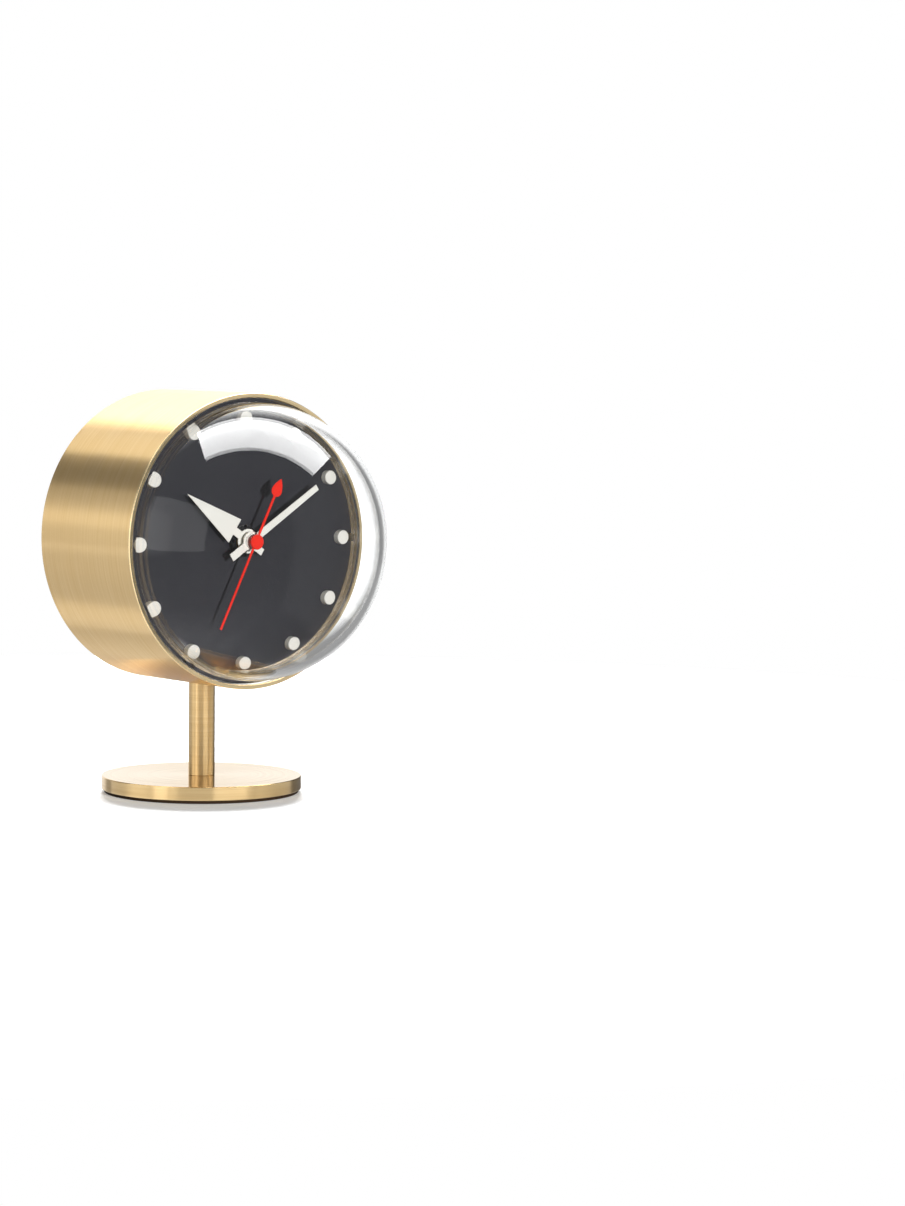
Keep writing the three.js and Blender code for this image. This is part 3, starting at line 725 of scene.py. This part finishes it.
def build_peg(peg):
    """A stud with a wide head in front of the dial and a shank through it."""
    low, high = box_mm(peg)
    radius = (high.z - low.z) / 2
    head_back = DIAL_Y - TOUCH
    profile = [
        (0, low.y),
        (radius, low.y, EDGE),
        (radius, head_back),
        (PEG_SHANK, head_back),
        (PEG_SHANK, high.y),
        (0, high.y),
    ]
    stand_in(peg, turned(rounded(profile, closed=False), about_peg(peg), SMALL), FINISHES["ivory"])


def build_nut():
    """A round nut with four slots for a pin spanner."""
    low, high = box_mm("fixing_nut")
    radius, bore = high.x, BUSH_HOLE
    profile = [(bore, low.y, 0.2), (radius, low.y, EDGE), (radius, high.y), (bore, high.y)]
    nut = turned(rounded(profile), about_drum, MEDIUM)
    half, slot_length, near, far = 0.7, 1.4, radius - 1.1, radius + PAST
    slot = [(-half, near), (half, near), (half, far), (-half, far)]
    for degrees in (0, 90, 180, 270):
        tool = extruded(slot, low.y - PAST, low.y + slot_length, degrees)
        nut = combined(nut, tool, "DIFFERENCE")
    stand_in("fixing_nut", nut, FINISHES["black_plastic"], bevel=0.08)


# ---- Hands ----

HAND_THICKNESS = 0.4
SECOND_HAND_THICKNESS = 0.3


def clock_angle(across, radius):
    """How far round a circle of that radius a point lies that far to one side of its top."""
    return math.degrees(math.asin(across / radius))


def build_hour_hand():
    low, high = box_mm("hour_hand")
    front, back = low.y, low.y + HAND_THICKNESS
    stem, shoulder, root, tip = 1.55, 5.15, 7.3, 33.4
    tail, tail_end = 1.35, -8.2
    hub, boss, bore = 4.65, 3.4, 2.56
    around = arc(hub, clock_angle(stem, hub), 180 - clock_angle(tail, hub))
    outline = mirrored([(0, tip), (shoulder, root), (stem, root), *around, (tail, tail_end)])
    hand = extruded(outline, front, back, HOUR_ANGLE)
    collar = disc(boss, back - OVERLAP, high.y, about_drum)
    hand = combined(hand, collar, "UNION")
    hand = combined(hand, disc(bore, front - PAST, high.y + PAST, about_drum), "DIFFERENCE")
    stand_in("hour_hand", hand, FINISHES["hand_ivory"], bevel=0.07)


def build_minute_hand():
    low, high = box_mm("minute_hand")
    collet_front, collet_rise = low.y, 0.8
    front = collet_front + collet_rise
    back = front + HAND_THICKNESS
    tip_half, tip = 1.175, 36.9
    tail_half, tail_end = 1.55, -10.9
    taper = (tail_half - tip_half) / (tip - tail_end)
    hub, collet, boss, bore = 3.75, 2.9, 2.4, 1.71
    stem = tail_half - taper * (hub - tail_end)
    tail = tail_half - taper * (-hub - tail_end)
    around = arc(hub, clock_angle(stem, hub), 180 - clock_angle(tail, hub))
    outline = mirrored([(tip_half, tip), *around, (tail_half, tail_end)])
    hand = extruded(outline, front, back, MINUTE_ANGLE)
    inside = front + OVERLAP
    profile = [
        (0, collet_front),
        (collet, collet_front, 0.2),
        (collet, inside),
        (boss, inside),
        (boss, high.y),
        (0, high.y),
    ]
    hand = combined(hand, turned(rounded(profile, closed=False), about_drum, MEDIUM), "UNION")
    hole = disc(bore, collet_front - PAST, high.y + PAST, about_drum)
    hand = combined(hand, hole, "DIFFERENCE")
    stand_in("minute_hand", hand, FINISHES["hand_ivory"], bevel=0.07)


def build_second_hand():
    low, high = box_mm("second_hand")
    front = low.y
    back = front + SECOND_HAND_THICKNESS
    stem, tail, tail_end = 0.5, 0.45, -36.0
    hub, bore = 2.2, 1.26
    spade, centre, tip, waist = 2.4, 21.4, 26.2, (1.9, 24.0)
    sides = curve((0.0, tip), waist, (spade, centre))
    under = arc(spade, 90, 180 - clock_angle(stem, spade), (0, centre))[1:]
    around = arc(hub, clock_angle(stem, hub), 180 - clock_angle(tail, hub))
    hand = extruded(mirrored([*sides, *under, *around, (tail, tail_end)]), front, back, SECOND_ANGLE)
    collar = disc(hub, back - OVERLAP, high.y, about_drum)
    hand = combined(hand, collar, "UNION")
    hand = combined(hand, disc(bore, front - PAST, high.y + PAST, about_drum), "DIFFERENCE")
    stand_in("second_hand", hand, FINISHES["hand_red"], bevel=0.05)

    build_second_hand_cap(front)


def build_second_hand_cap(hand_front):
    """A button on the second hand, whose plug goes into the hand's bore and holds the shaft."""
    low, high = box_mm("second_hand_cap")
    plug, shaft, shaft_rise = 1.2, 0.56, 0.2
    under = hand_front - TOUCH
    profile = [
        (0, low.y),
        (high.x, low.y, 0.35),
        (high.x, under, 0.1),
        (plug, under),
        (plug, high.y),
        (0, high.y),
    ]
    cap = turned(rounded(profile, closed=False), about_drum, MEDIUM)
    shaft_hole = disc(shaft, hand_front - shaft_rise, high.y + PAST, about_drum, SMALL)
    stand_in("second_hand_cap", combined(cap, shaft_hole, "DIFFERENCE"), FINISHES["hand_red"])


# ---- CAD nodes that stay ----


def finish_cad_nodes():
    """Gives every CAD node that still shows its finish, and breaks its edges a little."""
    for node, piece in frame["nodes"].items():
        if piece.hide_render:
            continue
        piece.data.materials.clear()
        piece.data.materials.append(FINISHES[NODE_SLOTS[node]])
        smooth(piece, bevel=0.06, weld=True)


# ---- Studio ----


def beside(azimuth, elevation, distance):
    """A point that far from the middle of the drum. Azimuth 0 is before the dial, and 90 on its right."""
    turn, rise = math.radians(azimuth), math.radians(elevation)
    level = distance * math.cos(rise)
    height = AXIS_Z * MM + distance * math.sin(rise)
    return Vector((level * math.sin(turn), -level * math.cos(turn), height))


def build_camera():
    """A camera where the photo's own stood: its place, its heading and pitch, and a slight roll."""
    data = bpy.data.cameras.new("camera")
    data.lens = 108.75
    data.sensor_width = 36.0
    camera = bpy.data.objects.new("camera", data)
    bpy.context.scene.collection.objects.link(camera)
    camera.location = beside(-35.204, 3.591, 1.40243)
    heading, pitch, roll = math.radians(39.145), math.radians(-4.598), math.radians(0.597)
    turn = Matrix.Rotation(-heading, 3, "Z") @ Matrix.Rotation(math.pi / 2 + pitch, 3, "X")
    camera.rotation_euler = (turn @ Matrix.Rotation(roll, 3, "Z")).to_euler()
    bpy.context.scene.camera = camera


def lamp(name, place, size, radiance, aim=None, spin=0.0, hidden=(), lights=(), shaded_by=()):
    """A rectangular softbox that faces the drum, or another point, and that the camera doesn't see.

    Its radiance is how bright it looks, whatever its size. It is hidden from the kinds of ray in
    hidden. Where lights or shaded_by list pieces, it lights, or is shaded by, only those.
    """
    data = bpy.data.lights.new(name, "AREA")
    data.shape = "RECTANGLE"
    data.size, data.size_y = size
    data.energy = radiance * math.pi * size[0] * size[1]
    made = bpy.data.objects.new(name, data)
    bpy.context.scene.collection.objects.link(made)
    made.location = place
    towards = (aim or Vector((0, 0, AXIS_Z * MM))) - Vector(place)
    made.rotation_euler = towards.to_track_quat("-Z", "Y").to_euler()
    made.rotation_euler.rotate_axis("Z", math.radians(spin))
    made.visible_camera = False
    for kind in hidden:
        setattr(made, "visible_" + kind, False)
    linking = made.light_linking
    if lights:
        linking.receiver_collection = group(name + "_lights", lights)
    if shaded_by:
        linking.blocker_collection = group(name + "_shaded_by", shaded_by)
    return made


def group(name, names):
    """A collection of the pieces with those names."""
    made = bpy.data.collections.new(name)
    for piece in names:
        made.objects.link(bpy.data.objects[piece])
    return made


def build_lamps():
    """The overhead softbox, a small key, a left panel, panels for the brass, and light for the table.

    The brass alone sees the panels from left_wing to front_core, so that they don't show in the lens.
    """
    foot = ("base_disc_fine", "base_pad_fine")
    brass = ("drum_case_fine", "post_fine", "base_disc_fine")
    above, below = (0.435, -0.023, 1.23), Vector((0.435, -0.023, 0))
    lamp("overhead", above, (1.84, 0.88), 7.7, aim=below, spin=-35.0, hidden=["diffuse"])
    lamp("front_key", beside(-8.0, 4.0, 1.5), (0.05, 0.05), 2700.0, hidden=["glossy", "transmission"])
    lamp("left_panel", beside(-97.0, 12.0, 1.25), (1.65, 0.8), 0.45)
    for name, azimuth, elevation, size, radiance in (
        ("left_wing", -105.0, 56.0, (1.8, 0.36), 2.4),
        ("left_rise", -105.0, 35.0, (1.8, 0.45), 0.27),
        ("left_fill", -93.0, 12.0, (1.5, 0.8), 0.5),
        ("left_band", -108.0, 10.0, (1.6, 0.2), 0.56),
        ("left_sweep", -118.0, -28.5, (2.5, 1.1), 0.7),
        ("under_sweep", -90.0, -89.0, (2.6, 2.6), 0.88),
        ("front_sweep", -22.0, -12.0, (2.9, 1.2), 0.85),
        ("right_sweep", 60.0, -12.0, (1.5, 1.2), 0.5),
        ("right_panel", 48.0, 18.0, (1.7, 0.6), 0.7),
        ("left_core", -82.0, -2.0, (0.4, 1.0), 0.95),
        ("front_core", -2.0, -2.0, (0.9, 0.84), 1.0),
    ):
        lamp(name, beside(azimuth, elevation, 1.3), size, radiance, hidden=["diffuse"], lights=brass)
    lamp("table_fill", above, (1.95, 0.88), 3.0, aim=below, spin=-35.0, lights=["floor"])
    behind = beside(145.0, 14.0, 1.6)
    lamp("table_back", behind, (0.5, 0.25), 160.0, lights=["floor"], shaded_by=foot)


def build_world():
    """White where the camera looks. For lighting: a dark room with a pale sweep behind the object."""
    world = bpy.data.worlds.new("studio")
    bpy.context.scene.world = world
    world.use_nodes = True
    tree = world.node_tree
    direction = add_node(tree, "ShaderNodeTexCoord").outputs["Generated"]
    split = add_node(tree, "ShaderNodeSeparateXYZ", {0: direction}).outputs
    elevation = add_maths(tree, "DEGREES", add_maths(tree, "ARCSINE", split["Z"]))
    bearing = add_maths(tree, "DEGREES", add_maths(tree, "ARCTAN2", split["X"], split["Y"]))

    def fade(value, start, end):
        """0 before start and 1 after end, or the other way round where end comes first."""
        low, high, first, last = (start, end, 0.0, 1.0) if start < end else (end, start, 1.0, 0.0)
        inputs = {"Value": value, "From Min": low, "From Max": high, "To Min": first, "To Max": last}
        return add_node(tree, "ShaderNodeMapRange", inputs, interpolation_type="SMOOTHSTEP").outputs[0]

    def patch(strength, bearings, elevations):
        """A soft-edged patch of light. Bearings are from the back of the object, to the right."""
        edges = [fade(bearing, *bearings[:2]), fade(bearing, *bearings[2:])]
        edges += [fade(elevation, *elevations[:2]), fade(elevation, *elevations[2:])]
        level = strength
        for edge in edges:
            level = add_maths(tree, "MULTIPLY", level, edge)
        return level

    def brightest(level, *patches):
        for light in patches:
            level = add_maths(tree, "MAXIMUM", level, light)
        return level

    reflected = brightest(
        0.1,
        patch(1.15, (-10.0, 5.0, 56.0, 40.0), (-16.0, -6.0, 42.0, 30.0)),
        patch(0.34, (-10.0, 10.0, 110.0, 90.0), (-70.0, -50.0, -2.0, -12.0)),
        patch(0.65, (-20.0, 0.0, 66.0, 46.0), (-75.0, -55.0, -8.0, -18.0)),
        patch(0.5, (-90.0, -70.0, 20.0, 5.0), (-12.0, -4.0, 24.0, 14.0)),
    )
    seen_through = brightest(
        0.1,
        patch(1.9, (-25.0, -5.0, 66.0, 46.0), (-16.0, -6.0, 56.0, 38.0)),
        patch(1.7, (-20.0, 0.0, 46.0, 30.0), (-60.0, -40.0, -2.0, -12.0)),
        patch(0.36, (-10.0, 10.0, 110.0, 90.0), (-70.0, -50.0, -2.0, -12.0)),
        patch(0.33, (40.0, 60.0, 178.0, 165.0), (-60.0, -45.0, 45.0, 30.0)),
        patch(0.16, (-178.0, -140.0, -70.0, -110.0), (-60.0, -20.0, 70.0, 30.0)),
    )
    path = add_node(tree, "ShaderNodeLightPath").outputs
    walls = {0: path["Is Transmission Ray"], 2: reflected, 3: seen_through}
    unseen = add_node(tree, "ShaderNodeMix", walls).outputs[0]
    strength = add_node(tree, "ShaderNodeMix", {0: path["Is Camera Ray"], 2: unseen, 3: 1.0}).outputs[0]
    background = tree.nodes["Background"]
    background.inputs["Color"].default_value = rgb(1.0, 1.0, 1.0)
    tree.links.new(strength, background.inputs["Strength"])


def build_floor():
    """A round white table top. Reflections show the sweep in its place."""
    mesh = bmesh.new()
    bmesh.ops.create_circle(mesh, cap_ends=True, segments=MEDIUM, radius=0.55)
    floor = new_object("floor", mesh)
    paper = Finish("floor_paper", Roughness=0.9, Emission_Strength=0.2)
    mottle = paper.noise(60.0)
    paper.set("Base Color", paper.blend(mottle, rgb(0.77, 0.80, 0.83), rgb(0.79, 0.82, 0.85)))
    paper.set("Emission Color", rgb(1.0, 1.0, 1.0))
    floor.data.materials.append(paper.material)
    for kind in ("diffuse", "glossy", "transmission", "shadow"):
        setattr(floor, "visible_" + kind, False)


build_base()
build_post()
build_drum()
build_lens()
build_back_cover()
build_dial()
build_nut()
build_hour_hand()
build_minute_hand()
build_second_hand()
finish_cad_nodes()
build_camera()
build_floor()
build_lamps()
build_world()
bpy.context.scene.view_settings.view_transform = "Standard"
